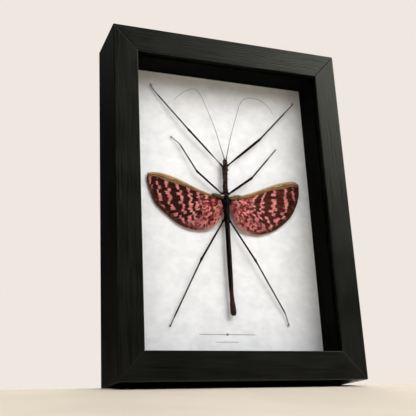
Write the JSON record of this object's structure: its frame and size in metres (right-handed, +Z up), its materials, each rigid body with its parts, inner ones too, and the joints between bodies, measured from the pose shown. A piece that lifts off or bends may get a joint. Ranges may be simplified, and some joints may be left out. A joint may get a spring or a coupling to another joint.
{
  "type": "framed stick insect specimen",
  "caption": "Winged stick insect, spread and pinned on a pale board behind glass in a deep black wooden display frame that stands or hangs.",
  "frame": {"origin": "middle of the lower rail's underside, halfway between the front and the back of the frame", "axes": "+Z up the frame's height, +Y from the glass towards the back, +X to the right as seen from the front"},
  "size_m": [0.17, 0.042, 0.24],
  "materials": {
    "black_wood": "satin",
    "clear_glass": "polished",
    "black_liner": "matte",
    "white_board": "matte",
    "back_fibreboard": "matte",
    "zinc_steel": "satin",
    "insect_brown": "satin",
    "wing_pink": "satin",
    "forewing_olive": "satin",
    "antenna_grey": "matte"
  },
  "bodies": {
    "root": {"frame_rail_bottom": "black_wood", "frame_rail_top": "black_wood", "frame_rail_left": "black_wood", "frame_rail_right": "black_wood", "glass_pane": "clear_glass", "liner_left": "black_liner", "liner_right": "black_liner", "liner_top": "black_liner", "liner_bottom": "black_liner", "backing_board": "white_board", "back_panel": "back_fibreboard", "panel_tab_1": "zinc_steel", "panel_tab_2": "zinc_steel", "panel_tab_3": "zinc_steel", "panel_tab_4": "zinc_steel", "sawtooth_hanger": "zinc_steel", "hanger_nail_left": "zinc_steel", "hanger_nail_right": "zinc_steel", "specimen_pin_1": "zinc_steel", "specimen_pin_2": "zinc_steel", "insect_body": "insect_brown", "fore_leg_left": "insect_brown", "fore_leg_right": "insect_brown", "middle_leg_left": "insect_brown", "middle_leg_right": "insect_brown", "hind_leg_left": "insect_brown", "hind_leg_right": "insect_brown", "hind_wing_left": "wing_pink", "hind_wing_right": "wing_pink", "forewing_left": "forewing_olive", "forewing_right": "forewing_olive", "antenna_left": "antenna_grey", "antenna_right": "antenna_grey"}
  },
  "joints": []
}
